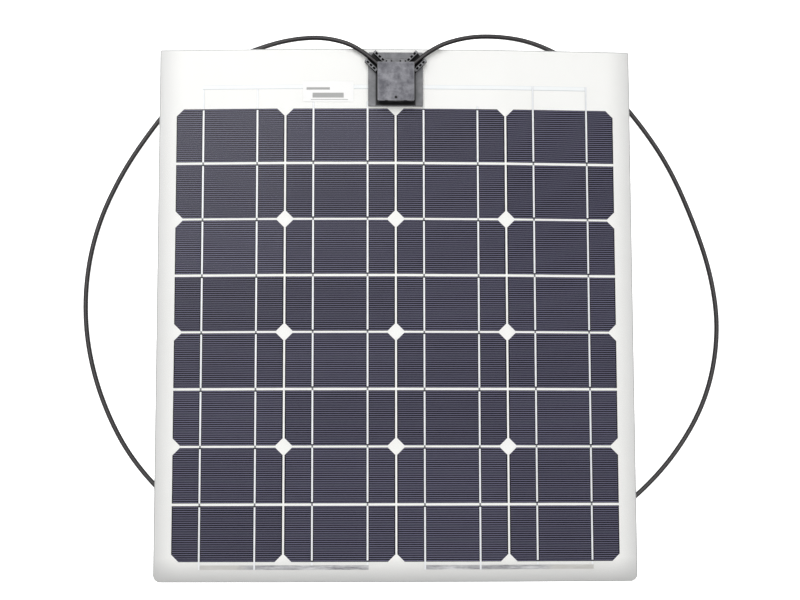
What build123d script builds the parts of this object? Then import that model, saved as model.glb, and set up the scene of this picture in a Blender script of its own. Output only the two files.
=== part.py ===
# Flexible solar sheet: a thin bendable laminate of half-cut cells with a low junction box,
# two leads and their plugs. It lies face up in a low arch, long edges resting on the leads.
# Origin: middle of the back face at the crown. +X right, +Y towards the box, +Z out of the face.
import os
from math import cos, degrees, pi, radians, sin, tan

from build123d import *

# Driving dimensions, mm
# Cells
wafer = 125.0  # side of a full wafer, cut across into two halves
wafer_clip = 8.3  # leg of the wafer's clipped corners
cell_t = 0.18
columns = 4
wafers_per_column = 4
column_gap = 2.2
half_cut_gap = 2.9
wafer_gap = 2.4
# Laminate
side_margin = 20.2
top_margin = 70.5
bottom_margin = 22.7
bottom_corner_r = 8.0
top_corner_r = 2.0
back_sheet_t = 0.6
rear_encapsulant_t = 0.3
front_encapsulant_t = 0.5
front_film_t = 0.15
# Ribbons and bus strips
ribbon_w = 2.0
ribbon_t = 0.12
ribbon_inset = 1.5  # a ribbon stops this far short of the cell's far edge
bus_w = 5.0
bus_t = cell_t
bus_overrun = 1.2  # bus past its outermost ribbon
top_bus_rise = 25.6  # outer buses' centre line above the cells
middle_bus_rise = 5.9
bottom_bus_drop = 6.2
riser_slot_play = 0.5  # round a bus end where it passes up into the box
# How the sheet lies
lead_d = 5.5
edge_clear = 0.5  # long edges above the leads
nut_d = 16.0
nut_clear = 1.2  # crown above the plug nuts
# Junction box
box_edge_gap = 5.1  # flange to the sheet's top edge
flange_w = 63.5
flange_l = 63.3
flange_t = 2.0
flange_corner_r = 1.5
glue_t = 0.8  # at the crown
glue_inset = 0.6
chamber_w = 40.0
chamber_l = 44.5
chamber_front_inset = 3.8  # flange's front edge to the chamber's front wall
chamber_corner = 8.0  # leg of the rear corners' chamfers, where the leads leave
wall_t = 1.8
# Lid and its hinge
lid_t = 2.2
lid_seat = 0.3  # plate above the rim
lid_skirt_t = 1.0
lid_skirt_h = 3.0
lid_play = 0.3  # skirt to wall
lid_corner_r = 1.6
lid_dimple_r = 1.6
lid_dimple_depth = 1.0
lid_dimple_edge = 4.1  # from the lid's front edge
pry_notch_w = 3.6
pry_notch_depth = 0.6
pry_notch_x = 10.8
catch_w = 2.6
catch_out = 0.2
seal_w = 1.0
seal_h = 1.1
seal_gap = 0.05  # seal to rim, so that two bodies don't share a face
hinge_pin_r = 1.1
hinge_play = 0.06  # pin to bore, on the radius
hinge_eye_wall = 0.94
hinge_eye_w = 4.0
hinge_lug_w = 1.5
hinge_side_play = 0.2
hinge_x = 8.0
hinge_below_rim = 0.85
hinge_wall_gap = 0.2
eye_mouth_bite = 0.5  # the eyes' snap-in mouth is this much narrower than the pin
# Clamps
clamp_play = 5.0  # lead to both cheeks together
clamp_cheek_w = 3.8
clamp_over_lead = 0.3
clamp_l = 18.0
clamp_floor_t = 0.6
clamp_start = 1.5  # from the chamfer's face
clamp_window_w = 2.5
clamp_window_l = 3.2
clamp_window_pitch = 5.0
clamp_window_depth = 4.2
lead_over_clamp = 0.2
lead_under_skirt = 5.2
lead_hole_play = 0.15
lead_inside = 3.8  # lead past the chamfer's face
# Inside the box
rail_w = 4.0
rail_past_bus = 1.9  # side rails' front end past the outer buses
middle_rail_gap = 6.5  # from the chamber's front wall
riser_gap = 1.0  # middle riser to its rail
rail_rear_gap = 9.4  # chamber's rear face to the rails, short of the leads' ends
rail_t = 1.0
rail_x = 13.0
barrel_d = 5.0
box_barrel_l = 6.0
diode_w = 6.6
diode_l = 9.0
diode_h = 4.0
diode_tab_w = 4.0
diode_tab_t = 0.5
# Plugs
plug_x = 32.0  # cable end of each nut from the middle
pin_plug_y = -240.0
socket_plug_y = -275.0
nut_l = 14.0
nut_wall_l = 3.0
nut_flutes = 12
nut_flute_r = 0.9
spigot_d = 12.0
spigot_play = 0.1
plug_body_d = 14.0
pin_body_l = 40.0
plug_bore_d = 6.0
cavity_d = 11.0
cavity_l = 20.0
pin_d = 4.0
pin_l = 16.0
socket_rear_l = 22.0
nose_d = 10.4
nose_l = 18.0
socket_bore_d = 4.05
socket_bore_l = 16.0
socket_d = 5.6
latch_w = 4.0
latch_t = 1.1
latch_l = 15.0
latch_play = 0.4
contact_collar_l = 5.0
contact_recess = 2.0  # socket's mouth behind the nose's end

# Worked out from the dimensions above
half_cell = wafer / 2
column_pitch = wafer + column_gap
sheet_w = columns * wafer + (columns - 1) * column_gap + 2 * side_margin
array_l = wafers_per_column * (wafer + half_cut_gap) + (wafers_per_column - 1) * wafer_gap
sheet_l = array_l + top_margin + bottom_margin
sheet_t = back_sheet_t + rear_encapsulant_t + front_encapsulant_t + front_film_t
array_top = sheet_l / 2 - top_margin
array_bottom = array_top - array_l
cell_z = back_sheet_t + rear_encapsulant_t
film_z = cell_z + front_encapsulant_t
crown_height = nut_d + nut_clear
rise = crown_height - lead_d - edge_clear
outer_strip = sheet_w / 2 - column_pitch
# Inner strips tilt by the bend, outer ones by three times as much, so each crease turns twice the bend
bend = rise / (column_pitch + 3 * outer_strip)
floor_z = -crown_height
lead_z = floor_z + lead_d / 2

crease = (column_pitch * cos(bend), -column_pitch * sin(bend))
edge_x = crease[0] + outer_strip * cos(3 * bend)

# Box levels and places
glue_top = sheet_t + glue_t
flange_top = glue_top + flange_t
lead_top = clamp_floor_t + lead_over_clamp + lead_d  # above the flange
rim_h = flange_t + lead_top + lead_under_skirt + lid_skirt_h - lid_seat
clamp_gap = lead_d + clamp_play
clamp_h = lead_top + clamp_over_lead
rim_z = glue_top + rim_h
lid_z = rim_z + lid_seat
box_y = sheet_l / 2 - box_edge_gap - flange_l / 2
chamber_front = box_y - flange_l / 2 + chamber_front_inset
chamber_rear = chamber_front + chamber_l
box_lead_z = flange_top + clamp_floor_t + lead_over_clamp + lead_d / 2
hinge_bore_r = hinge_pin_r + hinge_play
hinge_eye_r = hinge_bore_r + hinge_eye_wall
eye_mouth = 2 * hinge_pin_r - eye_mouth_bite
hinge_y = chamber_rear + hinge_wall_gap + hinge_eye_r
hinge_z = rim_z - hinge_below_rim
top_bus_y = array_top + top_bus_rise
middle_bus_y = array_top + middle_bus_rise
bottom_bus_y = array_bottom - bottom_bus_drop
rail_front = top_bus_y - bus_w / 2 - rail_past_bus
rail_rear = chamber_rear - rail_rear_gap
middle_rail_front = chamber_front + wall_t + middle_rail_gap
riser_x = rail_x + rail_w / 2 + 1.5
riser_y = middle_rail_front - riser_gap
corner_x = chamber_w / 2 - chamber_corner / 2
corner_y = chamber_rear - chamber_corner / 2

os.makedirs("parts", exist_ok=True)
written = []


def save(node, shape):
    solids = shape if isinstance(shape, list) else [shape]
    solids = [s for shape in solids for s in shape.solids()]
    target = solids[0] if len(solids) == 1 else Compound(children=solids)
    target.label = node
    export_step(target, f"parts/{node}.step")
    written.append(node)


def block(x0, x1, y0, y1, z0, z1):
    size = (x1 - x0, y1 - y0, z1 - z0)
    return Pos((x0 + x1) / 2, (y0 + y1) / 2, (z0 + z1) / 2) * Box(*size)


# Laminate


def arch_points(h):
    """The arch's right half at height h above the back face, mitred at the creases."""
    side = (edge_x + 1.0, crease[1] - (edge_x + 1.0 - crease[0]) * tan(3 * bend))
    return [
        (0, h / cos(bend)),
        (crease[0] + h * sin(2 * bend) / cos(bend), crease[1] + h * cos(2 * bend) / cos(bend)),
        (side[0] + h * sin(3 * bend), side[1] + h * cos(3 * bend)),
    ]


def arch_layer(h0, h1):
    """A layer of the arch from height h0 to h1, as long as the sheet and a little wider."""
    low, high = arch_points(h0), arch_points(h1)
    outline = [(-x, z) for x, z in reversed(low[1:])] + low
    outline += list(reversed(high)) + [(-x, z) for x, z in high[1:]]
    face = make_face(Plane.XZ * Polyline(*outline, close=True))
    return extrude(face, sheet_l / 2, both=True)


def sheet_outline():
    """A tall prism of the sheet's plan, with its rounded corners."""
    plan = Rectangle(2 * edge_x, sheet_l)
    corners = plan.vertices().sort_by(Axis.Y)
    plan = fillet(corners[:2], bottom_corner_r)
    plan = fillet(plan.vertices().group_by(Axis.Y)[-1], top_corner_r)
    return extrude(plan, 2 * crown_height, both=True)


def column_place(c):
    """Moves a flat column, drawn on x = 0 at height 0, onto its strip of the arch."""
    side = -1 if c < columns / 2 else 1
    inner = c in (columns // 2 - 1, columns // 2)
    tilt = bend if inner else 3 * bend
    along = column_pitch / 2
    start = (0, 0) if inner else crease
    x = start[0] + along * cos(tilt)
    z = start[1] - along * sin(tilt)
    return Pos(side * x, 0, z) * Rot(0, side * degrees(tilt), 0)


def cell_rows():
    """The far and near edges of each half cell, from the box end down."""
    rows, y = [], array_top
    for k in range(2 * wafers_per_column):
        rows.append((y, y - half_cell))
        y -= half_cell + (half_cut_gap if k % 2 == 0 else wafer_gap)
    return rows


def make_cell(row, far, near):
    plan = Pos(0, (far + near) / 2) * Rectangle(wafer, half_cell)
    edge = -1 if row % 2 == 0 else 0
    plan = chamfer(plan.vertices().group_by(Axis.Y)[edge], wafer_clip)
    return Pos(0, 0, cell_z) * extrude(plan, cell_t)


def ribbon(points):
    """A ribbon whose underside follows the points (y, height)."""
    upper = [(y, z + ribbon_t) for y, z in reversed(points)]
    face = make_face(Plane.YZ * Polyline(*points, *upper, close=True))
    return extrude(face, ribbon_w / 2, both=True)


def string_ribbons(rows, downwards):
    """Side views of one string's ribbons: tail, links from front to back, tail."""
    front, back = cell_z + cell_t, cell_z - ribbon_t
    top_bus = top_bus_y + bus_w / 2
    bottom_bus = bottom_bus_y - bus_w / 2
    order = rows if downwards else [(near, far) for far, near in reversed(rows)]
    step = -1 if downwards else 1
    lead_in, lead_out = (top_bus, bottom_bus) if downwards else (bottom_bus, top_bus)
    views = [[(lead_in, back), (order[0][1] - step * ribbon_inset, back)]]
    for (a0, a1), (b0, b1) in zip(order, order[1:]):
        views.append([(a0 + step * ribbon_inset, front), (a1, front), (b0, back),
                      (b1 - step * ribbon_inset, back)])
    views.append([(order[-1][0] + step * ribbon_inset, front), (lead_out, front)])
    return views


rows = cell_rows()
places = [column_place(c) for c in range(columns)]
ribbon_xs = (-wafer / 4, wafer / 4)
cells = {}
strings = []
for c in range(columns):
    for r, (far, near) in enumerate(rows):
        cells[f"cell_c{c + 1}_r{r + 1}"] = places[c] * make_cell(r, far, near)
    inner = c in (columns // 2 - 1, columns // 2)
    views = string_ribbons(rows, downwards=c % 2 == 0)
    if inner:
        # The inner strings reach the lower, middle bus
        reach = middle_bus_y + bus_w / 2
        views = [[(min(y, reach), z) for y, z in v] for v in views]
    strings.append([places[c] * (Pos(x, 0, 0) * ribbon(v)) for v in views for x in ribbon_xs])

bus_layer = arch_layer(cell_z, cell_z + bus_t)
column_xs = [abs((p * Pos(0, 0, cell_z)).position.X) for p in places]
outer_x = column_xs[0] + wafer / 4 + bus_overrun
inner_x = column_xs[1] + wafer / 4 + bus_overrun
inner_gap_x = column_xs[1] - wafer / 4 - bus_overrun


def bus_strip(x0, x1, y):
    return bus_layer & block(x0, x1, y - bus_w / 2, y + bus_w / 2, -crown_height, crown_height)


rail_z = flange_top + rail_t
riser_foot = cell_z - riser_x * tan(bend)
side_riser = block(riser_x - bus_t, riser_x, top_bus_y - bus_w / 2, top_bus_y + bus_w / 2,
                   riser_foot, rail_z + bus_t)
side_riser += block(riser_x - rail_w / 2 - 1.5, riser_x, top_bus_y - bus_w / 2,
                    top_bus_y + bus_w / 2, rail_z, rail_z + bus_t)
bus_right = bus_strip(riser_x - bus_t, outer_x, top_bus_y) + side_riser
bus_left = mirror(bus_right, about=Plane.YZ)
middle_riser = bus_layer & block(-bus_w / 2, bus_w / 2, middle_bus_y, riser_y + bus_t,
                                 -crown_height, crown_height)
middle_riser += block(-bus_w / 2, bus_w / 2, riser_y, riser_y + bus_t, cell_z, rail_z + bus_t)
middle_riser += block(-bus_w / 2, bus_w / 2, riser_y, middle_rail_front + 3.0, rail_z,
                      rail_z + bus_t)
bus_middle = bus_strip(-inner_x, inner_x, middle_bus_y) + middle_riser
bus_bottom = [bus_strip(inner_gap_x, outer_x, bottom_bus_y)]
bus_bottom.append(mirror(bus_bottom[0], about=Plane.YZ))

# Slots where the bus ends pass up into the box
play = riser_slot_play
side_slot = block(riser_x - bus_t - play, riser_x + play, top_bus_y - bus_w / 2 - play,
                  top_bus_y + bus_w / 2 + play, cell_z + bus_t / 2, flange_top)
slots = [side_slot, mirror(side_slot, about=Plane.YZ)]
slots.append(block(-bus_w / 2 - play, bus_w / 2 + play, riser_y - play, riser_y + bus_t + play,
                   cell_z + bus_t / 2, flange_top))

outline = sheet_outline()
flat_metal = [s for string in strings for s in string]
buses = [bus_left, bus_middle, bus_right] + bus_bottom
save("back_sheet", arch_layer(0, back_sheet_t) & outline)
rear = (arch_layer(back_sheet_t, cell_z) & outline) - flat_metal
save("rear_encapsulant", rear)
front = (arch_layer(cell_z, film_z) & outline) - list(cells.values()) - flat_metal - buses
save("front_encapsulant", front - slots)
save("front_film", (arch_layer(film_z, sheet_t) & outline) - slots)
for node, cell in cells.items():
    save(node, cell)
for c, string in enumerate(strings):
    save(f"ribbons_string_{c + 1}", string)
save("bus_top_left", bus_left)
save("bus_top_middle", bus_middle)
save("bus_top_right", bus_right)
save("bus_bottom", bus_bottom)

# Junction box


def flange_plan(inset):
    plan = Pos(0, box_y) * Rectangle(flange_w - 2 * inset, flange_l - 2 * inset)
    return fillet(plan.vertices(), flange_corner_r)


def chamber_plan(inset):
    """The chamber's outline, its two rear corners cut off at 45 degrees."""
    corner = chamber_corner - inset * (2 - 2**0.5)
    y = (chamber_front + chamber_rear) / 2
    plan = Pos(0, y) * Rectangle(chamber_w - 2 * inset, chamber_l - 2 * inset)
    plan = chamfer(plan.vertices().group_by(Axis.Y)[-1], corner)
    return fillet(plan.vertices().group_by(Axis.Y)[0], max(lid_corner_r - inset, 0.4))


# The glue fills the crease under the flat flange
glue = Pos(0, 0, -glue_t) * extrude(flange_plan(glue_inset), glue_top + glue_t)
glue -= arch_layer(-crown_height, sheet_t)
save("box_adhesive", glue - slots)


def lead_line(side):
    """The lead's axis at the box: origin on the chamfer's face, x outwards along the lead."""
    heading = 135 if side < 0 else 45
    return Pos(side * corner_x, corner_y, box_lead_z) * Rot(0, 0, heading)


def x_cylinder(r, x0, x1):
    """A cylinder along x."""
    return Pos((x0 + x1) / 2, 0, 0) * Rot(0, 90, 0) * Cylinder(r, x1 - x0)


def hinge_lug(x):
    """Half-round lug with a web to the chamber's rear wall."""
    lug = Pos(x, hinge_y, hinge_z) * Rot(0, 90, 0) * Cylinder(hinge_eye_r, hinge_lug_w)
    web = block(x - hinge_lug_w / 2, x + hinge_lug_w / 2, chamber_rear - 0.5, hinge_y,
                hinge_z - hinge_eye_r, hinge_z)
    return lug + web


base = Pos(0, 0, glue_top) * extrude(flange_plan(0), flange_t)
base += Pos(0, 0, glue_top) * extrude(chamber_plan(0), rim_h)
base -= Pos(0, 0, flange_top) * extrude(chamber_plan(wall_t), rim_h)
base -= slots
lug_x = hinge_eye_w / 2 + hinge_side_play + hinge_lug_w / 2
for side in (-1, 1):
    hole = x_cylinder(lead_d / 2 + lead_hole_play, -2 * wall_t, 1.0)
    base -= lead_line(side) * hole
    base += hinge_lug(side * hinge_x - lug_x) + hinge_lug(side * hinge_x + lug_x)
    pin = Rot(0, 90, 0) * Cylinder(hinge_pin_r, 2 * lug_x)
    base += Pos(side * hinge_x, hinge_y, hinge_z) * pin
    base += block(side * pry_notch_x - catch_w / 2, side * pry_notch_x + catch_w / 2,
                  chamber_front - catch_out, chamber_front, lid_z - 2.4, lid_z - 1.6)
save("box_base", base)

# Lid: a plate with a skirt at its front and sides, and two snap-on eyes at its rear
lid_rear = hinge_y - hinge_eye_r - hinge_side_play
lid_front = chamber_front - lid_play - lid_skirt_t
lid_half = chamber_w / 2 + lid_play + lid_skirt_t


def lid_plan(inset):
    y0, y1 = lid_front + inset, lid_rear - (seal_w if inset > lid_skirt_t else 0)
    plan = Pos(0, (y0 + y1) / 2) * Rectangle(2 * (lid_half - inset), y1 - y0)
    return fillet(plan.vertices().group_by(Axis.Y)[0], max(lid_corner_r - inset, 0.4))


lid = Pos(0, 0, lid_z - lid_skirt_h) * extrude(lid_plan(0), lid_skirt_h + lid_t)
lid = chamfer(lid.faces().sort_by(Axis.Z)[-1].edges(), 0.4)
room = Pos(0, 0, lid_z - lid_skirt_h) * extrude(lid_plan(lid_skirt_t), lid_skirt_h)
room += block(-lid_half + lid_skirt_t, lid_half - lid_skirt_t, lid_rear - 2 * wall_t,
              lid_rear + 1.0, lid_z - lid_skirt_h, lid_z)
lid -= room
eye_arm = block(-hinge_eye_w / 2, hinge_eye_w / 2, lid_rear - 0.6, hinge_y,
                lid_z, hinge_z + hinge_eye_r + 0.8)
eye = Pos(0, hinge_y, hinge_z) * Rot(0, 90, 0) * Cylinder(hinge_eye_r, hinge_eye_w) + eye_arm
bore = Pos(0, hinge_y, hinge_z) * Rot(0, 90, 0) * Cylinder(hinge_bore_r, 2 * hinge_eye_w)
mouth = block(-hinge_eye_w, hinge_eye_w, hinge_y - eye_mouth / 2, hinge_y + eye_mouth / 2,
              hinge_z - 2 * hinge_eye_r, hinge_z)
for side in (-1, 1):
    lid += Pos(side * hinge_x, 0, 0) * (eye - bore - mouth)
    lid -= block(side * pry_notch_x - pry_notch_w / 2, side * pry_notch_x + pry_notch_w / 2,
                 lid_front - 1.0, lid_front + pry_notch_depth, lid_z - lid_skirt_h, lid_z + lid_t)
lid -= Pos(0, lid_front + lid_dimple_edge, lid_z + lid_t) * Cylinder(
    lid_dimple_r, 2 * lid_dimple_depth)
seal_middle = wall_t / 2
seal_z = rim_z + seal_gap
ring = chamber_plan(seal_middle - seal_w / 2) - chamber_plan(seal_middle + seal_w / 2)
seal = Pos(0, 0, seal_z) * extrude(ring, seal_h)
save("box_lid", lid - seal)
save("lid_seal", seal)

# Clamps: two cheeks joined under the lead, with a row of windows in each


def make_clamp(side):
    x0, x1 = clamp_start, clamp_start + clamp_l
    z0 = flange_top - box_lead_z
    outer = clamp_gap / 2 + clamp_cheek_w
    clamp = block(x0, x1, -outer, outer, z0, z0 + clamp_h)
    clamp -= block(x0 - 1, x1 + 1, -clamp_gap / 2, clamp_gap / 2, z0 + clamp_floor_t, clamp_h)
    clamp = fillet(clamp.edges().filter_by(Axis.Z).sort_by(Axis.X)[-4:], 0.8)
    for k in (-1, 0, 1):
        x = (x0 + x1) / 2 + k * clamp_window_pitch
        for cheek in (-1, 1):
            y = cheek * (clamp_gap + clamp_cheek_w) / 2
            z = z0 + clamp_h
            clamp -= block(x - clamp_window_l / 2, x + clamp_window_l / 2, y - clamp_window_w / 2,
                           y + clamp_window_w / 2, z - clamp_window_depth, z + 1)
    return lead_line(side) * clamp


save("cable_clamp_left", make_clamp(-1))
save("cable_clamp_right", make_clamp(1))

# Rails stand on the chamber's floor and end in crimp barrels that meet the leads
rail = block(rail_x - rail_w / 2, rail_x + rail_w / 2, rail_front, rail_rear,
             flange_top, rail_z)
barrel_start = lead_line(1) * Pos(-lead_inside, 0, 0)
barrel = barrel_start * x_cylinder(barrel_d / 2, -box_barrel_l, 0)
post_at = (barrel_start * Pos(-box_barrel_l / 2, 0, 0)).position
post = block(post_at.X - 1.2, post_at.X + 1.2, post_at.Y - 1.2, post_at.Y + 1.2,
             flange_top, box_lead_z)
rail += block(post_at.X - 1.2, rail_x, post_at.Y - 2.4, post_at.Y + 1.2, flange_top, rail_z)
rail = rail + post + barrel
middle_rail = block(-rail_w / 2, rail_w / 2, middle_rail_front, rail_rear,
                    flange_top, rail_z)
save("contact_rails", [rail, mirror(rail, about=Plane.YZ), middle_rail])

diode_x = rail_x / 2
diode_y = top_bus_y + bus_w / 2 + 1.5 + diode_l / 2
diode = block(diode_x - diode_w / 2, diode_x + diode_w / 2, diode_y - diode_l / 2,
              diode_y + diode_l / 2, flange_top, flange_top + diode_h)
diode += block(1.0, rail_x - 1.0, diode_y - diode_tab_w / 2, diode_y + diode_tab_w / 2,
               rail_z, rail_z + diode_tab_t)
save("bypass_diodes", [diode, mirror(diode, about=Plane.YZ)])

# Plugs, each drawn along +X from its nut's cable end


def make_nut():
    nut = x_cylinder(nut_d / 2, 0, nut_l)
    nut = chamfer(nut.edges().filter_by(GeomType.CIRCLE).sort_by(Axis.X)[0], 1.0)
    nut -= x_cylinder(spigot_d / 2 + spigot_play, nut_wall_l, nut_l + 1)
    nut -= x_cylinder(plug_bore_d / 2, -1, nut_l)
    for k in range(nut_flutes):
        turn = 360 * (k + 0.5) / nut_flutes
        flute = Pos(0, 0, nut_d / 2 + nut_flute_r / 2) * x_cylinder(nut_flute_r, 2.0, nut_l + 1)
        nut -= Rot(turn, 0, 0) * flute
    return nut


def make_rear_body(length):
    """The spigot inside the nut, and the body in front of it, drilled through."""
    body = x_cylinder(spigot_d / 2, nut_wall_l, nut_l)
    body += x_cylinder(plug_body_d / 2, nut_l, nut_l + length)
    return body


def make_pin_body():
    end = nut_l + pin_body_l
    body = make_rear_body(pin_body_l)
    body = chamfer(body.edges().filter_by(GeomType.CIRCLE).sort_by(Axis.X)[-1], 0.6)
    body -= x_cylinder(plug_bore_d / 2, 0, end)
    body -= x_cylinder(cavity_d / 2, end - cavity_l, end + 1)
    slot_half = latch_w / 2 + latch_play
    for side in (-1, 1):
        y = side * plug_body_d / 2
        body -= block(end - latch_l, end + 1, min(0, y * 1.2), max(0, y * 1.2), -slot_half,
                      slot_half)
    return body


def make_socket_body():
    end = nut_l + socket_rear_l
    body = make_rear_body(socket_rear_l)
    body += x_cylinder(nose_d / 2, end, end + nose_l)
    for side in (-1, 1):
        y = side * (plug_body_d / 2 - latch_t / 2)
        latch = Pos(end + latch_l / 2 - 0.5, y, 0) * Box(latch_l + 1, latch_t, latch_w)
        body += latch
    return body - x_cylinder(plug_bore_d / 2, 0, end + nose_l + 1)


def make_pin_contact():
    seat = nut_l + pin_body_l - cavity_l
    contact = x_cylinder(barrel_d / 2, 0, seat)
    contact += x_cylinder(plug_bore_d / 2, seat - contact_collar_l - 1, seat - 1)
    pin = x_cylinder(pin_d / 2, seat, seat + pin_l)
    return contact + chamfer(pin.edges().filter_by(GeomType.CIRCLE).sort_by(Axis.X)[-1], 0.8)


def make_socket_contact():
    mouth_x = nut_l + socket_rear_l + nose_l - contact_recess
    seat = mouth_x - socket_bore_l - 2.0
    contact = x_cylinder(barrel_d / 2, 0, seat)
    contact += x_cylinder(plug_bore_d / 2, seat - contact_collar_l, seat)
    contact += x_cylinder(socket_d / 2, seat, mouth_x)
    return contact - x_cylinder(socket_bore_d / 2, mouth_x - socket_bore_l, mouth_x + 1)


plug_z = floor_z + nut_d / 2
pin_place = Pos(-plug_x, pin_plug_y, plug_z)
socket_place = Pos(plug_x, socket_plug_y, plug_z) * Rot(0, 0, 180)
save("pin_plug_nut", pin_place * make_nut())
save("pin_plug_body", pin_place * make_pin_body())
save("pin_contact", pin_place * make_pin_contact())
save("socket_plug_nut", socket_place * make_nut())
save("socket_plug_body", socket_place * make_socket_body())
save("socket_contact", socket_place * make_socket_contact())

# Leads: from the box over the top edge, under the sheet, out at the side and back under it
start_left = (lead_line(-1) * Pos(-lead_inside, 0, 0)).position
start_right = (lead_line(1) * Pos(-lead_inside, 0, 0)).position
left_route = [
    (start_left.X, start_left.Y, start_left.Z),
    (-39.1, 305.0, box_lead_z),
    (-79, 318.5, 5),
    (-119, 319, -5),
    (-157, 310.5, -12.5),
    (-199, 293, lead_z),
    (-243, 263, lead_z),
    (-282, 214, lead_z),
    (-317, 160, lead_z),
    (-344, 98, lead_z),
    (-356, 32, lead_z),
    (-353, -37, lead_z),
    (-333, -107, lead_z),
    (-298, -172, lead_z),
    (-240, -230, lead_z),
    (-176, -255, lead_z),
    (-121, -248, -13),
    (-74, pin_plug_y, plug_z),
    (-plug_x, pin_plug_y, plug_z),
]
right_route = [
    (start_right.X, start_right.Y, start_right.Z),
    (38, 303.9, box_lead_z),
    (80, 319.5, 5),
    (122, 323, -4),
    (162, 318, -12),
    (206, 297, lead_z),
    (248, 267, lead_z),
    (288, 219, lead_z),
    (320.5, 168, lead_z),
    (347, 104, lead_z),
    (365.5, 44, lead_z),
    (372.5, -17, lead_z),
    (363, -80, lead_z),
    (339, -135, lead_z),
    (296.5, -191, lead_z),
    (236, -241, lead_z),
    (174, -271, lead_z),
    (118, -279, -13),
    (74, socket_plug_y, plug_z),
    (plug_x, socket_plug_y, plug_z),
]


def make_lead(name, route):
    """A round tube along straight runs joined by tangent arcs, each as large as its runs allow."""
    points = [Vector(*p) for p in route]
    runs = [b - a for a, b in zip(points, points[1:])]
    turns = [a.get_angle(b) for a, b in zip(runs, runs[1:])]
    radii = []
    for a, b, turn in zip(runs, runs[1:], turns):
        radii.append(0.45 * min(a.length, b.length) / tan(radians(turn) / 2))
    path = FilletPolyline(*points, radius=radii)
    section = Plane(origin=points[0], z_dir=runs[0]) * Circle(lead_d / 2)
    tube = sweep(section, path=path)
    expected = pi * lead_d**2 / 4 * path.length
    print(f"{name}: length {path.length:.1f}, radii {[round(r) for r in radii]}")
    print(f"  turns {[round(t) for t in turns]}, runs {[round(r.length) for r in runs]}")
    print(f"  volume {tube.volume:.0f}, section times length {expected:.0f}")
    save(name, tube)


make_lead("left_lead", left_route)
make_lead("right_lead", right_route)

print(f"sheet {sheet_w:.1f} x {sheet_l:.1f} x {sheet_t:.2f}, bend {degrees(bend):.3f} degrees,"
      f" edge at x {edge_x:.2f}, floor {floor_z:.2f}")
print(f"hinge y {hinge_y:.2f} z {hinge_z:.2f}, lid {lid_front:.2f} to {lid_rear:.2f},"
      f" box lead z {box_lead_z:.2f}, plug z {plug_z:.2f}, nodes {len(written)}")
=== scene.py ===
from math import pi, radians

import bpy
import numpy as np
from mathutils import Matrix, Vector


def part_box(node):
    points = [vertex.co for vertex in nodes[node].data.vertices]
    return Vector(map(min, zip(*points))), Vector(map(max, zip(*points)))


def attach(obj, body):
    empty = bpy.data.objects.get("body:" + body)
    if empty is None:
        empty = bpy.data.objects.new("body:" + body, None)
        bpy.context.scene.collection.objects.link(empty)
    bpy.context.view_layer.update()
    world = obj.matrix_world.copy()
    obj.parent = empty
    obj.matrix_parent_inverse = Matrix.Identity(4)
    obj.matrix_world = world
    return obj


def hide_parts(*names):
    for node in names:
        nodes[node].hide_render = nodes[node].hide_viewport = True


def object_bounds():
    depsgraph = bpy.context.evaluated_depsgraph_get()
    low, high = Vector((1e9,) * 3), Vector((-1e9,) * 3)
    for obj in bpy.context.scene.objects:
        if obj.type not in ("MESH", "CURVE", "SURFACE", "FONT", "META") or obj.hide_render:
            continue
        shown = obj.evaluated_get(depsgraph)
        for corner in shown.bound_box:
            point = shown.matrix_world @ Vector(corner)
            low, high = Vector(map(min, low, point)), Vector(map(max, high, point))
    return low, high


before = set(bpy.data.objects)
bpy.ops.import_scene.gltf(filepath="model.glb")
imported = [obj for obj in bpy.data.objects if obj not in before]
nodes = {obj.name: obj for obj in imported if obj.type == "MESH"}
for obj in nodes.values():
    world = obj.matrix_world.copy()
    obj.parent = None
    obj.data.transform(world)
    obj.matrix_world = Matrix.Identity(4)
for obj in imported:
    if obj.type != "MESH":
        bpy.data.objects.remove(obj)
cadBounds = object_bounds()
mm = 0.001
print("frame loaded:", len(nodes), "nodes")


# ---------- small helpers ----------

def toLinear(hexColour):
    # sRGB hex to linear: divide by 12.92 near black, else the 2.4 power curve
    parts = [int(hexColour[i:i + 2], 16) / 255 for i in (1, 3, 5)]
    return (*[c / 12.92 if c <= 0.04045 else ((c + 0.055) / 1.055) ** 2.4 for c in parts], 1.0)


def addNode(tree, kind, links=None, **settings):
    # one node with its settings; links maps an input to a socket or a value
    node = tree.nodes.new(kind)
    for key, value in settings.items():
        setattr(node, key, value)
    for key, value in (links or {}).items():
        if isinstance(value, bpy.types.NodeSocket):
            tree.links.new(value, node.inputs[key])
        else:
            node.inputs[key].default_value = value
    return node


def patternScale(size):
    # texture scale for a feature of this size in mm, on coordinates in metres
    return 1 / (size * mm)


def startMaterial(name):
    material = bpy.data.materials.new(name)
    material.use_nodes = True
    material.node_tree.nodes.clear()
    coords = addNode(material.node_tree, "ShaderNodeTexCoord")
    return material, material.node_tree, coords.outputs["Object"]


def endMaterial(tree, shader):
    addNode(tree, "ShaderNodeOutputMaterial", {"Surface": shader})


def noiseAt(tree, place, size, detail=2.0, rough=0.5):
    # soft noise with features of about this size in mm
    return addNode(tree, "ShaderNodeTexNoise", {
        "Vector": place, "Scale": patternScale(size), "Detail": detail, "Roughness": rough
    }).outputs["Fac"]


def calc(tree, operation, *values):
    return addNode(tree, "ShaderNodeMath", dict(enumerate(values)), operation=operation).outputs[0]


def rangeTo(tree, value, low, high, fromLow=0.0, fromHigh=1.0):
    return addNode(tree, "ShaderNodeMapRange", {
        "Value": value, "From Min": fromLow, "From Max": fromHigh, "To Min": low, "To Max": high
    }).outputs["Result"]


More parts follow.
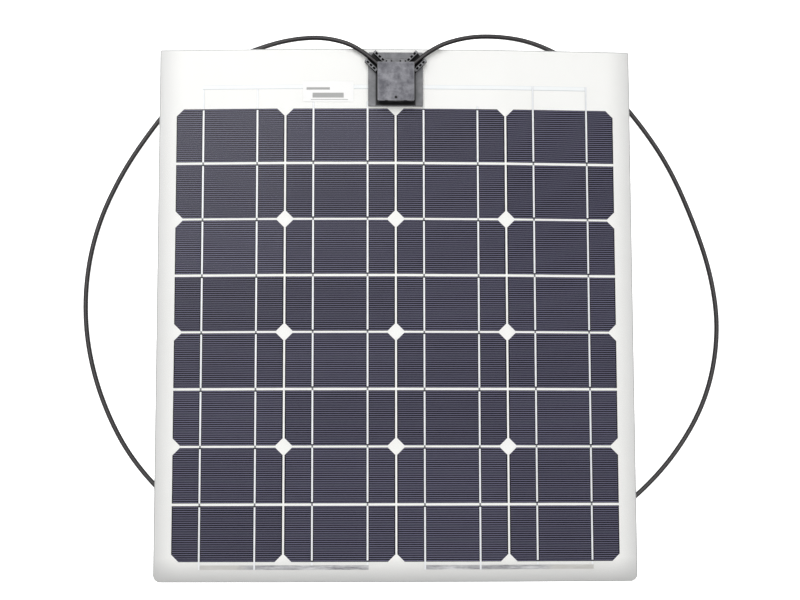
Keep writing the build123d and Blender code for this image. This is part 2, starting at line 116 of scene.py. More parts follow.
def blendColours(tree, factor, first, second):
    # a mix node has its factor at input 0 and its two colours at 6 and 7
    node = addNode(tree, "ShaderNodeMix", data_type="RGBA")
    for socket, value in ((node.inputs[0], factor), (node.inputs[6], first), (node.inputs[7], second)):
        if isinstance(value, bpy.types.NodeSocket):
            tree.links.new(value, socket)
        else:
            socket.default_value = value
    return node.outputs[2]


def bumpFrom(tree, height, depth):
    # a bump of this depth in mm
    return addNode(tree, "ShaderNodeBump", {
        "Height": height, "Distance": depth * mm, "Strength": 1.0
    }).outputs["Normal"]


def pastEdges(tree, place, halfWidth, front, rear):
    # distance past the nearest side of a rectangle in plan, below zero inside it
    split = addNode(tree, "ShaderNodeSeparateXYZ", {0: place})
    side = calc(tree, "SUBTRACT", calc(tree, "ABSOLUTE", split.outputs["X"]), halfWidth)
    ahead = calc(tree, "SUBTRACT", front, split.outputs["Y"])
    behind = calc(tree, "SUBTRACT", split.outputs["Y"], rear)
    return calc(tree, "MAXIMUM", side, calc(tree, "MAXIMUM", ahead, behind))


def linkObject(name, data):
    made = bpy.data.objects.new(name, data)
    bpy.context.scene.collection.objects.link(made)
    return made


def meshPiece(name, points, faces, material, body, smooth=True):
    mesh = bpy.data.meshes.new(name)
    mesh.from_pydata(points.tolist(), [], faces.tolist())
    mesh.polygons.foreach_set("use_smooth", np.full(len(faces), smooth))
    mesh.update()
    piece = linkObject(name, mesh)
    mesh.materials.append(material)
    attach(piece, body)
    return piece


cellLow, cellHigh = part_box("cell_c3_r8")
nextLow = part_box("cell_c3_r7")[0]
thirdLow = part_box("cell_c3_r6")[0]
backLow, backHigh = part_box("back_sheet")
halfWidth, halfLength = backHigh.x, backHigh.y
topBusLow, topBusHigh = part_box("bus_top_left")
fingersPerHalf = 26
cellGrid = {
    "foot": cellLow.y,
    "head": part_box("cell_c3_r1")[1].y,
    "secondHalf": nextLow.y - cellLow.y,
    "waferPitch": thirdLow.y - cellLow.y,
    "columnPitch": cellLow.x + cellHigh.x,
    "halfGap": (nextLow.y - cellHigh.y) / 2,
    "ribbonAside": (cellHigh.x - cellLow.x) / 4,
    "fingerPitch": (cellHigh.y - cellLow.y) / fingersPerHalf,
    "bareBorder": 1.3 * mm,    # no finger reaches the cell's edges
}
cellGrid["stripeHalf"] = (cellHigh.x - cellLow.x) / 2 - cellGrid["bareBorder"]
margins = {
    "sideShadeBand": 30.2 * mm,     # painted shade greys the sides over this width
    # painted shade greys the foot over this width
    "footShadeBand": 27 * mm,
    "creptFrom": 166 * mm,     # the white layer creeps over the bottom strips from here
    "creptTo": 180 * mm,
    "topBusMiddle": (topBusLow.y + topBusHigh.y) / 2,
}


# ---------- materials ----------

def fingerStripes(tree, place):
    # stripes centred on the printed fingers: a raised cosine of their pitch, cubed, that starts again at
    # the foot of each half cell and stops short of the cell's sides and of its ribbons
    split = addNode(tree, "ShaderNodeSeparateXYZ", {0: place})
    climb = calc(tree, "SUBTRACT", split.outputs["Y"], cellGrid["foot"])
    local = calc(tree, "FLOORED_MODULO", climb, cellGrid["waferPitch"])
    second = calc(tree, "GREATER_THAN", local, cellGrid["secondHalf"] - 1 * mm)
    local = calc(tree, "SUBTRACT", local, calc(tree, "MULTIPLY", second, cellGrid["secondHalf"]))
    turns = calc(tree, "SUBTRACT", calc(tree, "DIVIDE", local, cellGrid["fingerPitch"]), 0.5)
    wave = calc(tree, "COSINE", calc(tree, "MULTIPLY", turns, 2 * pi))
    line = calc(tree, "POWER", calc(tree, "MULTIPLY_ADD", wave, 0.5, 0.5), 3.0)
    column = calc(tree, "FLOORED_MODULO", split.outputs["X"], cellGrid["columnPitch"])
    aside = calc(tree, "ABSOLUTE", calc(tree, "SUBTRACT", column, cellGrid["columnPitch"] / 2))
    line = calc(tree, "MULTIPLY", line, calc(tree, "LESS_THAN", aside, cellGrid["stripeHalf"]))
    fromRibbon = calc(tree, "ABSOLUTE", calc(tree, "SUBTRACT", aside, cellGrid["ribbonAside"]))
    return calc(tree, "MULTIPLY", line, calc(tree, "GREATER_THAN", fromRibbon, 1.9 * mm))


def siliconWafer():
    # monocrystalline silicon, etched and nitride coated: near-black violet, satin, each cut a little
    # different, with the haze of fired paste beside each finger
    material, tree, place = startMaterial("siliconWafer")
    # each half cell has one tone: the grid's lines run in the gaps, and its lowest layer is far below
    corner = (0.0, cellGrid["foot"] - cellGrid["halfGap"], -0.5)
    pitch = (cellGrid["columnPitch"], cellGrid["waferPitch"] / 2, 1.0)
    local = addNode(tree, "ShaderNodeVectorMath", {0: place, 1: corner}, operation="SUBTRACT")
    cell = addNode(tree, "ShaderNodeVectorMath", {0: local.outputs[0], 1: pitch}, operation="SNAP")
    shift = addNode(tree, "ShaderNodeVectorMath", {0: cell.outputs[0], 1: (0.31, 0.17, 0.0)},
                    operation="ADD")
    tone = addNode(tree, "ShaderNodeTexWhiteNoise", {"Vector": shift.outputs[0]}).outputs["Value"]
    cloud = noiseAt(tree, place, 90.0, 1.0)
    base = blendColours(tree, tone, toLinear("#0f0e17"), toLinear("#15141f"))
    base = blendColours(tree, rangeTo(tree, cloud, 0.0, 0.6), base, toLinear("#171621"))
    paste = blendColours(tree, tone, toLinear("#696782"), toLinear("#75738f"))
    base = blendColours(tree, fingerStripes(tree, place), base, paste)
    shader = addNode(tree, "ShaderNodeBsdfPrincipled", {
        "Base Color": base, "Roughness": 0.45, "IOR": 1.2})
    endMaterial(tree, shader.outputs[0])
    return material


def firedSilver():
    # screen-printed silver paste, fired: matt pale grey
    material, tree, place = startMaterial("firedSilver")
    base = blendColours(tree, noiseAt(tree, place, 1.2), toLinear("#6c6b7c"), toLinear("#7a798b"))
    shader = addNode(tree, "ShaderNodeBsdfPrincipled", {"Base Color": base, "Roughness": 0.6})
    endMaterial(tree, shader.outputs[0])
    return material


def tinnedRibbon():
    # solder-dipped flat copper: bright on the flat, with painted shade greying the slope where a ribbon
    # dips from one cell's face to the next one's back
    material, tree, place = startMaterial("tinnedRibbon")
    coords = addNode(tree, "ShaderNodeTexCoord")
    up = addNode(tree, "ShaderNodeSeparateXYZ", {0: coords.outputs["Normal"]}).outputs["Z"]
    ripple = noiseAt(tree, place, 4.0, 3.0)
    flat = blendColours(tree, ripple, toLinear("#eceef2"), toLinear("#fbfcfd"))
    # painted shade: the ribbon turns grey where its face tilts on the slope of a dip
    base = blendColours(tree, rangeTo(tree, up, 1.0, 0.0, 0.9958, 0.9972), flat, toLinear("#7f8084"))
    # past the cells the ribbon's own slit edges show against the white
    split = addNode(tree, "ShaderNodeSeparateXYZ", {0: place})
    column = calc(tree, "FLOORED_MODULO", split.outputs["X"], cellGrid["columnPitch"])
    aside = calc(tree, "ABSOLUTE", calc(tree, "SUBTRACT", column, cellGrid["columnPitch"] / 2))
    aside = calc(tree, "ABSOLUTE", calc(tree, "SUBTRACT", aside, cellGrid["ribbonAside"]))
    edge = rangeTo(tree, aside, 0.0, 1.0, 0.6 * mm, 0.85 * mm)
    edge = calc(tree, "MULTIPLY", edge, calc(tree, "GREATER_THAN", split.outputs["Y"], cellGrid["head"]))
    base = blendColours(tree, edge, base, toLinear("#bfc1c1"))
    shader = addNode(tree, "ShaderNodeBsdfPrincipled", {
        "Base Color": base, "Metallic": 0.35, "Roughness": rangeTo(tree, ripple, 0.42, 0.55)})
    endMaterial(tree, shader.outputs[0])
    return material


def dullStrip():
    # bare tinned strip, a little tarnished and rolled unevenly: streaky silver grey, paler at its outer
    # ends where the white layer has crept over it
    material, tree, place = startMaterial("dullStrip")
    drawn = addNode(tree, "ShaderNodeMapping", {"Vector": place, "Scale": (0.35, 2.0, 1.0)}).outputs[0]
    ripple = noiseAt(tree, drawn, 9.0, 4.0, 0.65)
    base = blendColours(tree, rangeTo(tree, ripple, 0.0, 1.0, 0.35, 0.65), toLinear("#8e8e93"),
                        toLinear("#dcdcde"))
    across = calc(tree, "ABSOLUTE", addNode(tree, "ShaderNodeSeparateXYZ", {0: place}).outputs["X"])
    crept = rangeTo(tree, across, 0.0, 0.85, margins["creptFrom"], margins["creptTo"])
    base = blendColours(tree, crept, base, toLinear("#d6d4cf"))
    shader = addNode(tree, "ShaderNodeBsdfPrincipled", {
        "Base Color": base, "Metallic": 0.35, "Roughness": 0.45, "Normal": bumpFrom(tree, ripple, 0.04)})
    endMaterial(tree, shader.outputs[0])
    return material


def lacqueredStrip():
    # bus strip lacquered white so that it hides in the margin: only its slit edges show, faintly grey
    material, tree, place = startMaterial("lacqueredStrip")
    along = addNode(tree, "ShaderNodeSeparateXYZ", {0: place}).outputs["Y"]
    up = calc(tree, "SUBTRACT", along, margins["topBusMiddle"])
    base = blendColours(tree, noiseAt(tree, place, 20.0), toLinear("#f2f6f8"), toLinear("#fbfcfb"))
    base = blendColours(tree, rangeTo(tree, up, 0.0, 0.4, 1.9 * mm, 2.3 * mm), base, toLinear("#c5c9cb"))
    base = blendColours(tree, rangeTo(tree, up, 1.0, 0.0, -2.2 * mm, -1.7 * mm), base,
                        toLinear("#c0c4c6"))
    shader = addNode(tree, "ShaderNodeBsdfPrincipled", {"Base Color": base, "Roughness": 0.5})
    endMaterial(tree, shader.outputs[0])
    return material


def whiteLaminate():
    # white EVA behind the cells: opaque and milky, with painted shade greying it towards the sides and
    # the foot, and a grey line just inside its edge
    material, tree, place = startMaterial("whiteLaminate")
    split = addNode(tree, "ShaderNodeSeparateXYZ", {0: place})
    cloud = noiseAt(tree, place, 60.0, 2.0)
    across = calc(tree, "ABSOLUTE", split.outputs["X"])
    base = blendColours(tree, cloud, toLinear("#f5f5f2"), toLinear("#fafaf8"))
    # painted shade: the sides darken towards the edge
    side = rangeTo(tree, across, 0.0, 1.0, halfWidth - margins["sideShadeBand"], halfWidth + 0.3 * mm)
    side = calc(tree, "POWER", side, 1.6)
    base = blendColours(tree, side, base, toLinear("#d7d7d6"))
    # painted shade: darker towards the foot
    foot = rangeTo(tree, split.outputs["Y"], 1.0, 0.0, -halfLength, -halfLength + margins["footShadeBand"])
    base = blendColours(tree, foot, base, toLinear("#bdbdbc"))
    slit = pastEdges(tree, place, halfWidth, -halfLength, halfLength)
    base = blendColours(tree, rangeTo(tree, slit, 0.0, 1.0, -1.3 * mm, -0.4 * mm), base,
                        toLinear("#a2a3a3"))
    shader = addNode(tree, "ShaderNodeBsdfPrincipled", {"Base Color": base, "Roughness": 0.6})
    endMaterial(tree, shader.outputs[0])
    return material


def backFilm():
    # extruded PET back sheet: matt white with a fine calendered grain
    material, tree, place = startMaterial("backFilm")
    grain = noiseAt(tree, place, 0.9, 3.0, 0.6)
    base = blendColours(tree, noiseAt(tree, place, 45.0), toLinear("#dfdfdd"), toLinear("#e8e8e6"))
    shader = addNode(tree, "ShaderNodeBsdfPrincipled", {
        "Base Color": base, "Roughness": rangeTo(tree, grain, 0.55, 0.7),
        "Normal": bumpFrom(tree, grain, 0.02)})
    endMaterial(tree, shader.outputs[0])
    return material


def clearFilm():
    # fluoropolymer front film over clear EVA: see-through, with a soft, faintly pebbled gloss
    material, tree, place = startMaterial("clearFilm")
    pebble = noiseAt(tree, place, 3.0, 2.0)
    normal = bumpFrom(tree, pebble, 0.004)
    gloss = addNode(tree, "ShaderNodeFresnel", {"IOR": 1.38, "Normal": normal}).outputs[0]
    # only the outer face shines: the inside of a face would reflect everything at a low angle
    inside = addNode(tree, "ShaderNodeNewGeometry").outputs["Backfacing"]
    gloss = calc(tree, "MULTIPLY", gloss, calc(tree, "SUBTRACT", 1.0, inside))
    through = addNode(tree, "ShaderNodeBsdfTransparent", {"Color": toLinear("#ffffff")})
    shine = addNode(tree, "ShaderNodeBsdfGlossy", {
        "Color": toLinear("#ffffff"), "Roughness": 0.28, "Normal": normal})
    mix = addNode(tree, "ShaderNodeMixShader", {0: gloss, 1: through.outputs[0], 2: shine.outputs[0]})
    endMaterial(tree, mix.outputs[0])
    return material


def mouldedPlastic(name, dark, litColours, fade=None, wear=None, dimple=None, rearEnd=None, above=None):
    # glass-filled PPE, moulded with a spark-eroded texture: black, with painted light greying its upward
    # faces and painted shade in the corners beside a wall (fade), below a height (above) and in its
    # dimple; less painted light past rearEnd, and paler along its edges, where it is rubbed (wear)
    material, tree, place = startMaterial(name)
    coords = addNode(tree, "ShaderNodeTexCoord")
    up = addNode(tree, "ShaderNodeSeparateXYZ", {0: coords.outputs["Normal"]}).outputs["Z"]
    grain = noiseAt(tree, place, 0.7, 3.0, 0.6)
    mottle = noiseAt(tree, place, 11.0, 5.0, 0.64)
    side = blendColours(tree, mottle, toLinear(dark[0]), toLinear(dark[1]))
    # the lit grey of the upward faces is painted light
    top = blendColours(tree, rangeTo(tree, mottle, 0.0, 1.0, 0.36, 0.64), toLinear(litColours[0]),
                       toLinear(litColours[1]))
    if wear:
        rubbed = rangeTo(tree, pastEdges(tree, place, *wear), 0.0, 0.55, -0.9 * mm, -0.3 * mm)
        top = blendColours(tree, rubbed, top, toLinear("#b4b4b6"))
    # painted light: the lit grey takes over as a face turns upward, and the walls keep painted shade
    amount = rangeTo(tree, up, 0.0, 1.0, 0.6, 0.95)
    if fade:
        # painted shade in the corners beside a wall
        clearOf = rangeTo(tree, pastEdges(tree, place, *fade[:3]), 0.0, 1.0, *fade[3])
        amount = calc(tree, "MULTIPLY", amount, clearOf)
    if above:
        # painted shade below this height, between the parts
        height = addNode(tree, "ShaderNodeSeparateXYZ", {0: place}).outputs["Z"]
        amount = calc(tree, "MULTIPLY", amount, calc(tree, "GREATER_THAN", height, above))
    if rearEnd:
        # less of the painted light past rearEnd
        along = addNode(tree, "ShaderNodeSeparateXYZ", {0: place}).outputs["Y"]
        behind = rangeTo(tree, along, 1.0, 0.6, rearEnd, rearEnd + 0.1 * mm)
        amount = calc(tree, "MULTIPLY", amount, behind)
    if dimple:
        # painted shade in the dimple
        away = addNode(tree, "ShaderNodeVectorMath", {0: place, 1: dimple}, operation="DISTANCE")
        amount = calc(tree, "MULTIPLY", amount, rangeTo(tree, away.outputs["Value"], 0.0, 1.0,
                                                        1.5 * mm, 1.75 * mm))
    base = blendColours(tree, amount, side, top)
    shader = addNode(tree, "ShaderNodeBsdfPrincipled", {
        "Base Color": base, "Roughness": rangeTo(tree, grain, 0.5, 0.65),
        "Normal": bumpFrom(tree, grain, 0.03)})
    endMaterial(tree, shader.outputs[0])
    return material


def leadJacket():
    # cross-linked polyolefin jacket: black and satin, with a painted highlight along its upper side,
    # where it shows a soft grey stripe between dark flanks
    material, tree, place = startMaterial("leadJacket")
    coords = addNode(tree, "ShaderNodeTexCoord")
    up = addNode(tree, "ShaderNodeSeparateXYZ", {0: coords.outputs["Normal"]}).outputs["Z"]
    jacketNoise = noiseAt(tree, place, 14.0, 3.0)
    # painted highlight: the grey of the jacket's upward faces
    litStripe = blendColours(tree, jacketNoise, toLinear("#474546"), toLinear("#555354"))
    base = blendColours(tree, rangeTo(tree, up, 0.0, 1.0, 0.8, 1.0), toLinear("#141213"), litStripe)
    shader = addNode(tree, "ShaderNodeBsdfPrincipled", {
        "Base Color": base, "Roughness": rangeTo(tree, jacketNoise, 0.3, 0.4), "Specular IOR Level": 0.25,
        "Normal": bumpFrom(tree, noiseAt(tree, place, 1.0, 2.0), 0.02)})
    endMaterial(tree, shader.outputs[0])
    return material


def softBlack(name, colour, rough):
    # black elastomer or potting: dull, faintly mottled
    material, tree, place = startMaterial(name)
    mottle = noiseAt(tree, place, 2.0, 3.0)
    base = blendColours(tree, mottle, toLinear(colour), toLinear("#333333"))
    shader = addNode(tree, "ShaderNodeBsdfPrincipled", {
        "Base Color": base, "Roughness": rough, "Normal": bumpFrom(tree, mottle, 0.03)})
    endMaterial(tree, shader.outputs[0])
    return material


def contactMetal():
    # tin-plated brass, turned: bright with faint rings
    material, tree, place = startMaterial("contactMetal")
    rings = noiseAt(tree, place, 0.5, 2.0)
    base = blendColours(tree, rings, toLinear("#c9cace"), toLinear("#dcdde0"))
    shader = addNode(tree, "ShaderNodeBsdfPrincipled", {
        "Base Color": base, "Metallic": 1.0, "Roughness": rangeTo(tree, rings, 0.22, 0.34)})
    endMaterial(tree, shader.outputs[0])
    return material


def printInk(name, first, second):
    # vinyl label stock and its screen-printed ink: matt, even
    material, tree, place = startMaterial(name)
    base = blendColours(tree, noiseAt(tree, place, 1.5), toLinear(first), toLinear(second))
    shader = addNode(tree, "ShaderNodeBsdfPrincipled", {"Base Color": base, "Roughness": 0.7})
    endMaterial(tree, shader.outputs[0])
    return material


silicon = siliconWafer()
silver = firedSilver()
tinned = tinnedRibbon()
bottomStrip = dullStrip()
lacquered = lacqueredStrip()
white = whiteLaminate()
backing = backFilm()
clear = clearFilm()
black = ("#131314", "#1e1e1f")
lidLow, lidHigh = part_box("box_lid")
lidRear = lidHigh.y - 4.4 * mm    # the hinge eyes reach this far past the lid's plate
lidPlate = (lidHigh.x, lidLow.y, lidRear)
chamber = (lidHigh.x - 1.3 * mm, lidLow.y + 1.3 * mm, lidRear - 1 * mm)
# painted light greys the box's upward faces, and painted shade darkens them beside the chamber's walls
boxPlastic = mouldedPlastic("boxPlastic", black, ("#76777a", "#8e8e91"),
                            fade=(*chamber, (2.2 * mm, 4.0 * mm)))
# painted light greys the lid's upward faces, with painted shade in its dimple and less painted light
# past its plate
lidPlastic = mouldedPlastic("lidPlastic", black, ("#606067", "#94949a"), wear=lidPlate,
                            rearEnd=lidRear + 0.2 * mm,
                            dimple=(0, lidLow.y + 4.1 * mm, lidHigh.z - 1 * mm))
# painted light greys the clamps' upward faces, with painted shade below the cheeks' tops
clampPlastic = mouldedPlastic("clampPlastic", black, ("#77787b", "#8f8f92"),
                              above=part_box("cable_clamp_left")[1].z - 0.5 * mm)
# a faint painted light on the plugs' upward faces
plugPlastic = mouldedPlastic("plugPlastic", ("#1b1b1c", "#262627"), ("#1f1f20", "#2c2c2d"))
jacket = leadJacket()
rubber = softBlack("sealRubber", "#151515", 0.7)
sealant = softBlack("boxSealant", "#3a3a3c", 0.55)
epoxy = softBlack("diodeEpoxy", "#111112", 0.4)
plated = contactMetal()
ink = printInk("printInk", "#a9a9a8", "#b5b5b4")
paper = printInk("labelPaper", "#fcfcfb", "#fefefd")
print("materials made")

finishes = {
    "back_sheet": backing, "rear_encapsulant": white, "box_adhesive": sealant,
    "box_base": boxPlastic, "box_lid": lidPlastic, "lid_seal": rubber,
    "contact_rails": tinned, "bypass_diodes": epoxy,
    "cable_clamp_left": clampPlastic, "cable_clamp_right": clampPlastic,
    "pin_plug_body": plugPlastic, "pin_plug_nut": plugPlastic, "pin_contact": plated,
    "socket_plug_body": plugPlastic, "socket_plug_nut": plugPlastic, "socket_contact": plated,
}
for name, node in nodes.items():
    if name.startswith("cell_"):
        finish = silicon
    elif name.startswith("ribbons_"):
        finish = tinned
    elif name.startswith("bus_"):
        finish = {"bus_bottom": bottomStrip, "bus_top_middle": white}.get(name, lacquered)
    else:
        finish = finishes.get(name)
    if finish:
        node.data.materials.clear()
        node.data.materials.append(finish)
print("CAD pieces finished")


# ---------- leads ----------

leads = {
    "diameter": 5.5 * mm,
    "left": dict(node="left_lead", length=1.025, route=[
        (-13.31, 279.21, 7.9), (-39.1, 305.0, 7.9), (-79, 318.5, 5), (-119, 319, -5),
        (-157, 310.5, -12.5), (-199, 293, -14.45), (-243, 263, -14.45), (-282, 214, -14.45),
        (-317, 160, -14.45), (-344, 98, -14.45), (-356, 32, -14.45), (-353, -37, -14.45),
        (-333, -107, -14.45), (-298, -172, -14.45), (-240, -230, -14.45), (-176, -255, -14.45),
        (-121, -248, -13), (-74, -240, -9.2), (-32, -240, -9.2)],
        plug=["pin_plug_body", "pin_plug_nut", "pin_contact"]),
    "right": dict(node="right_lead", length=1.06, route=[
        (13.31, 279.21, 7.9), (38, 303.9, 7.9), (80, 319.5, 5), (122, 323, -4),
        (162, 318, -12), (206, 297, -14.45), (248, 267, -14.45), (288, 219, -14.45),
        (320.5, 168, -14.45), (347, 104, -14.45), (365.5, 44, -14.45), (372.5, -17, -14.45),
        (363, -80, -14.45), (339, -135, -14.45), (296.5, -191, -14.45), (236, -241, -14.45),
        (174, -271, -14.45), (118, -279, -13), (74, -275, -9.2), (32, -275, -9.2)],
        plug=["socket_plug_body", "socket_plug_nut", "socket_contact"]),
}


def makeLead(side):
    # a smooth NURBS line through the lead's own route, with a round section
    made = leads[side]
    curve = bpy.data.curves.new(f"{side}Lead", "CURVE")
    curve.dimensions = "3D"
    curve.resolution_u = 10
    curve.bevel_depth = leads["diameter"] / 2
    curve.bevel_resolution = 5
    curve.use_fill_caps = True
    line = curve.splines.new("NURBS")
    line.points.add(len(made["route"]) - 1)
    for point, (x, y, z) in zip(line.points, made["route"]):
        point.co = (x * mm, y * mm, z * mm, 1)
    line.order_u = 3
    line.use_endpoint_u = True
    line.use_smooth = True
    curve.materials.append(jacket)
    lead = linkObject(f"{side}Lead", curve)
    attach(lead, "panel")
    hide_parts(made["node"])


makeLead("left")
makeLead("right")
print("leads laid")


# ---------- laminate ----------

laminate = {
    "filmTop": 1.55 * mm,      # height of the lit face above the back
    "filmUnder": 1.24 * mm,    # clear layer starts above the ribbons
    "rimUnder": 0.92 * mm,     # and comes down to the white layer round the edge
    "rimWidth": 2.5 * mm,
    "edgeRound": 0.3 * mm,
    "creaseEase": 12.0 * mm,   # half length of the easing at each bend
    "footCorner": 8.0 * mm,
    "headCorner": 2.0 * mm,
    "acrossSteps": 96,
    "alongSteps": 40,
    "rimSteps": np.array([0, 0.15, 0.3, 1.5, 2.5, 3.5, 5.0, 6.5, 8.0]) * mm,
}
columnPitch = cellGrid["columnPitch"]
edgeDrop = -backLow.z
bend = edgeDrop / (columnPitch + 3 * (halfWidth - columnPitch))


def archDrop(x):
    # drop of the low arch below its crown: slope t up to the column gap and 3t past it, each
    # change of slope eased by a parabola over the ease length
    ease, t = laminate["creaseEase"], bend
    away = np.abs(x)
    crown = np.where(away < ease, away**2 / (2 * ease) + ease / 2, away)
    past = away - columnPitch
    ramp = np.where(past < -ease, 0, np.where(past > ease, past, (past + ease) ** 2 / (4 * ease)))
    return t * crown + 2 * t * ramp


def rowHalfWidth(y):
    # half width at y: the full half width less a quarter circle's bite at each rounded corner
    foot = np.clip(laminate["footCorner"] - (y + halfLength), 0, None)
    head = np.clip(laminate["headCorner"] - (halfLength - y), 0, None)
    biteFoot = laminate["footCorner"] - np.sqrt(laminate["footCorner"] ** 2 - foot**2)
    biteHead = laminate["headCorner"] - np.sqrt(laminate["headCorner"] ** 2 - head**2)
    return halfWidth - biteFoot - biteHead


def makeClearFace():
    # a closed slab on a grid: x runs from edge to edge of each row, y from foot to head; its top is the
    # arch at the film's height, its underside sits above the ribbons and comes down at the rim
    margin = laminate["rimSteps"]
    inner = np.linspace(0, 1, laminate["acrossSteps"])[1:-1]
    alongInner = np.linspace(-halfLength + margin[-1], halfLength - margin[-1], laminate["alongSteps"])
    y = np.concatenate([-halfLength + margin[:-1], alongInner, (halfLength - margin[:-1])[::-1]])
    half = rowHalfWidth(y)[:, None]
    middle = (half - margin[-1]) * (2 * inner[None, :] - 1)
    left = -half + margin[None, :]
    x = np.concatenate([left, middle, -left[:, ::-1]], axis=1)
    yGrid = np.repeat(y[:, None], x.shape[1], axis=1)
    inset = np.minimum(half - np.abs(x), halfLength - np.abs(yGrid))
    edge = np.clip(1 - inset / laminate["edgeRound"], 0, 1)
    top = laminate["filmTop"] - laminate["edgeRound"] * 0.5 * edge**2 - archDrop(x)
    rise = np.clip((inset - laminate["rimWidth"]) / mm, 0, 1)
    rise = rise * rise * (3 - 2 * rise)
    under = laminate["rimUnder"] + (laminate["filmUnder"] - laminate["rimUnder"]) * rise - archDrop(x)
    rows, cols = x.shape
    upper = np.stack([x, yGrid, top], axis=-1).reshape(-1, 3)
    lower = np.stack([x, yGrid, under], axis=-1).reshape(-1, 3)
    index = np.arange(rows * cols).reshape(rows, cols)
    a, b, c, d = index[:-1, :-1], index[:-1, 1:], index[1:, 1:], index[1:, :-1]
    topFaces = np.stack([a, b, c, d], axis=-1).reshape(-1, 4)
    n = rows * cols
    lowFaces = np.stack([a, d, c, b], axis=-1).reshape(-1, 4) + n
    loop = np.concatenate([index[0, :], index[1:, -1], index[-1, -2::-1], index[-2:0:-1, 0]])
    after = np.roll(loop, -1)
    sides = np.stack([loop, loop + n, after + n, after], axis=-1)
    points = np.concatenate([upper, lower])
    faces = np.concatenate([topFaces, lowFaces, sides])
    face = meshPiece("clearFace", points, faces, clear, "panel")
    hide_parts("front_film", "front_encapsulant")


makeClearFace()


def stripBars(boxes, bottom, top, shape):
    # many small bars as one mesh: each box is (x0, x1, y0, y1), and each bar is closed, with six sides
    x0, x1, y0, y1 = [boxes[:, i] for i in range(4)]
    cx = np.stack([x0, x1, x1, x0, x0, x1, x1, x0], axis=1)
    cy = np.stack([y0, y0, y1, y1, y0, y0, y1, y1], axis=1)
    height = np.array([bottom] * 4 + [top] * 4)
    cz = shape(cx) + height[None, :]
    points = np.stack([cx, cy, cz], axis=-1).reshape(-1, 3)
    quads = np.array([[4, 5, 6, 7], [0, 3, 2, 1], [0, 1, 5, 4], [1, 2, 6, 5], [2, 3, 7, 6],
                      [3, 0, 4, 7]])
    faces = (quads[None] + 8 * np.arange(len(boxes))[:, None, None]).reshape(-1, 4)
    return points, faces


fingers = {
    "width": 0.14 * mm,
    "cornerClip": 8.3 * mm,
    "under": 1.075 * mm,
    "top": 1.095 * mm,
}


def stripHeight(x):
    # the arch's own flat strips, without easing, for pieces that lie on the cells
    away = np.abs(x)
    return -bend * away - 2 * bend * np.clip(away - columnPitch, 0, None)


def makeFingers(column):
    # evenly spaced bars across each half cell, shortened where its corners are clipped
    bars = []
    for row in range(1, 9):
        low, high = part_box(f"cell_c{column}_r{row}")
        y = np.linspace(low.y, high.y, 2 * fingersPerHalf + 1)[1::2]
        reach = (high.y - y) if row % 2 == 1 else (y - low.y)
        bite = np.clip(fingers["cornerClip"] - reach, 0, None) + cellGrid["bareBorder"]
        half = fingers["width"] / 2
        bars.append(np.stack([low.x + bite, high.x - bite, y - half, y + half], axis=1))
    points, faces = stripBars(np.concatenate(bars), fingers["under"], fingers["top"], stripHeight)
    meshPiece(f"cellFingers{column}", points, faces, silver, "panel", smooth=False)


for column in range(1, 5):
    makeFingers(column)
print("laminate made")


label = {
    "left": -107 * mm, "right": -48.5 * mm, "foot": 243.5 * mm, "head": 267.5 * mm,
    "thickness": 0.08 * mm,
    "bars": [(-96, -60, 248.2, 254.0), (-103, -76, 257.6, 260.4), (-98, -55, 245.6, 246.4)],
}


def makeLabel():
    # a blank white sticker on the film's face, with plain grey bars where a label has its print
    base = laminate["filmTop"] + 0.01 * mm
    rect = np.array([[label["left"], label["right"], label["foot"], label["head"]]])
    top = base + label["thickness"]
    points, faces = stripBars(rect, base, top, stripHeight)
    meshPiece("ratingLabel", points, faces, paper, "panel", smooth=False)
    bars = np.array(label["bars"]) * mm
    points, faces = stripBars(bars, top, top + 0.02 * mm, stripHeight)
    meshPiece("ratingLabelPrint", points, faces, ink, "panel", smooth=False)


makeLabel()


# ---------- floor, light and camera ----------

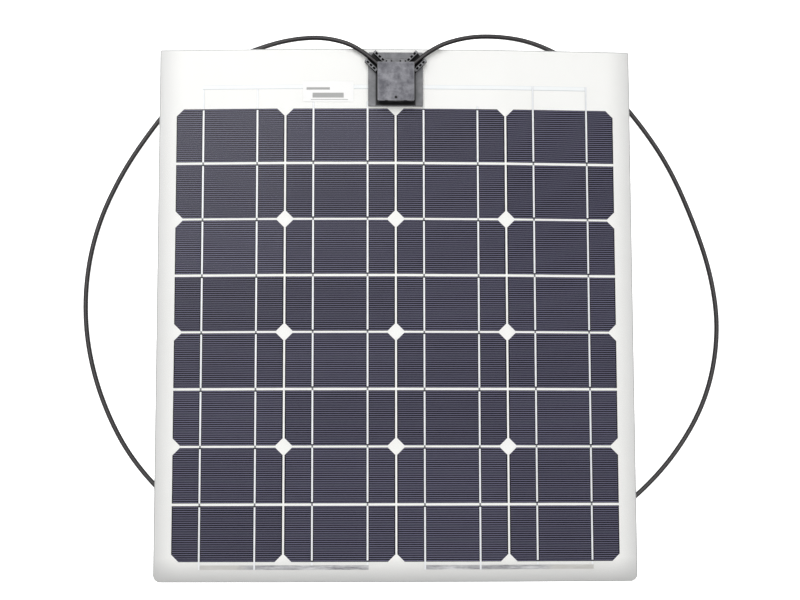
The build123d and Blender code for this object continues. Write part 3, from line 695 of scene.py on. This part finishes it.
stage = {
    "floorSize": 6.0, "colour": "#f7f7f7", "glow": 0.8, "air": 0.3,
    "key": dict(place=(-0.7, 1.5, 2.6), target=(0, 0.1, 0), size=(2.0, 1.6), power=29),
    "fill": dict(place=(0.1, -0.1, 2.9), target=(0, 0, 0), size=(3.2, 3.2), power=55, glossy=False),
}


def makeFloor():
    size = stage["floorSize"]
    z = cadBounds[0].z
    corners = np.array([[-size, -size, z], [size, -size, z], [size, size, z], [-size, size, z]])
    mesh = bpy.data.meshes.new("studioFloor")
    mesh.from_pydata(corners.tolist(), [], [[0, 1, 2, 3]])
    floor = linkObject("studioFloor", mesh)
    material, tree = startMaterial("studioPaper")[:2]
    # lit from below like a light table, so that shadows barely show
    shader = addNode(tree, "ShaderNodeBsdfPrincipled", {
        "Base Color": toLinear(stage["colour"]), "Roughness": 0.9,
        "Emission Color": toLinear("#ffffff"), "Emission Strength": stage["glow"]})
    endMaterial(tree, shader.outputs[0])
    mesh.materials.append(material)


def softBox(name, place, target, size, power, glossy=True):
    light = bpy.data.lights.new(name, "AREA")
    light.shape = "RECTANGLE"
    light.size, light.size_y = size
    light.energy = power
    lamp = linkObject(name, light)
    lamp.location = place
    lamp.rotation_euler = (Vector(target) - Vector(place)).to_track_quat("-Z", "Y").to_euler()
    lamp.visible_glossy = glossy


def makeLight():
    # an even fill with no reflection of its own, and a key whose reflection lightens the upper left
    world = bpy.data.worlds.new("studioAir")
    world.use_nodes = True
    sky = world.node_tree.nodes["Background"]
    sky.inputs["Color"].default_value = toLinear("#ffffff")
    sky.inputs["Strength"].default_value = stage["air"]
    bpy.context.scene.world = world
    softBox("keyLight", **stage["key"])
    softBox("fillLight", **stage["fill"])


camera = {
    "place": (-0.0504, -0.2224, 2.0),
    "turn": (6.702, -1.564, -0.117),
    "lens": 79.36,
    "sensor": 36.0,
}


def makeCamera():
    lens = bpy.data.cameras.new("studioCamera")
    lens.lens = camera["lens"]
    lens.sensor_width = camera["sensor"]
    body = linkObject("studioCamera", lens)
    body.location = camera["place"]
    body.rotation_euler = [radians(a) for a in camera["turn"]]
    bpy.context.scene.camera = body


makeFloor()
makeLight()
makeCamera()
bpy.context.scene.view_settings.view_transform = "Standard"
print("stage set")
